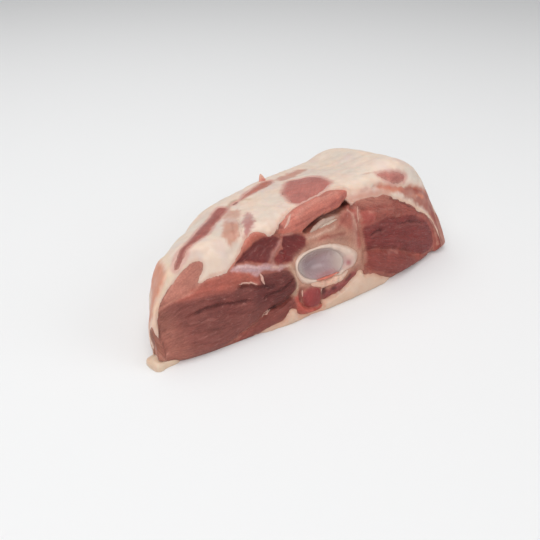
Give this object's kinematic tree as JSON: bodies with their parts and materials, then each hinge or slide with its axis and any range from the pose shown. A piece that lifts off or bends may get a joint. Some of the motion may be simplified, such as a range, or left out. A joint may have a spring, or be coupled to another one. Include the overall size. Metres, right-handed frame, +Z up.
{
  "type": "bone-in pork shoulder roast",
  "caption": "Raw pork shoulder roast on the bone, flat underneath, with a cut lean face that shows the shoulder joint and a fat cover over its top and back.",
  "frame": {"origin": "on the resting surface, under the middle of the meat, in the flat underside", "axes": "+X along the cut face to its right end, +Y from the cut face to the back, +Z up"},
  "size_m": [0.2504, 0.1239, 0.0743],
  "materials": {
    "lean": "moist raw pork muscle with fine fibres",
    "fat": "cool cream pork fat, soft sheen",
    "soft_fat": "pink soft fat round the joint",
    "bone": "pale bone rim",
    "cartilage": "wet grey lilac joint cartilage",
    "tendon": "grey green sinew"
  },
  "bodies": {
    "root": {"lean": "lean", "fat_cover": "fat", "under_fat": "fat", "fat_tab": "fat", "joint_fat": "soft_fat", "shoulder_bone": "bone", "socket_cartilage": "cartilage", "tendon": "tendon"}
  },
  "joints": []
}
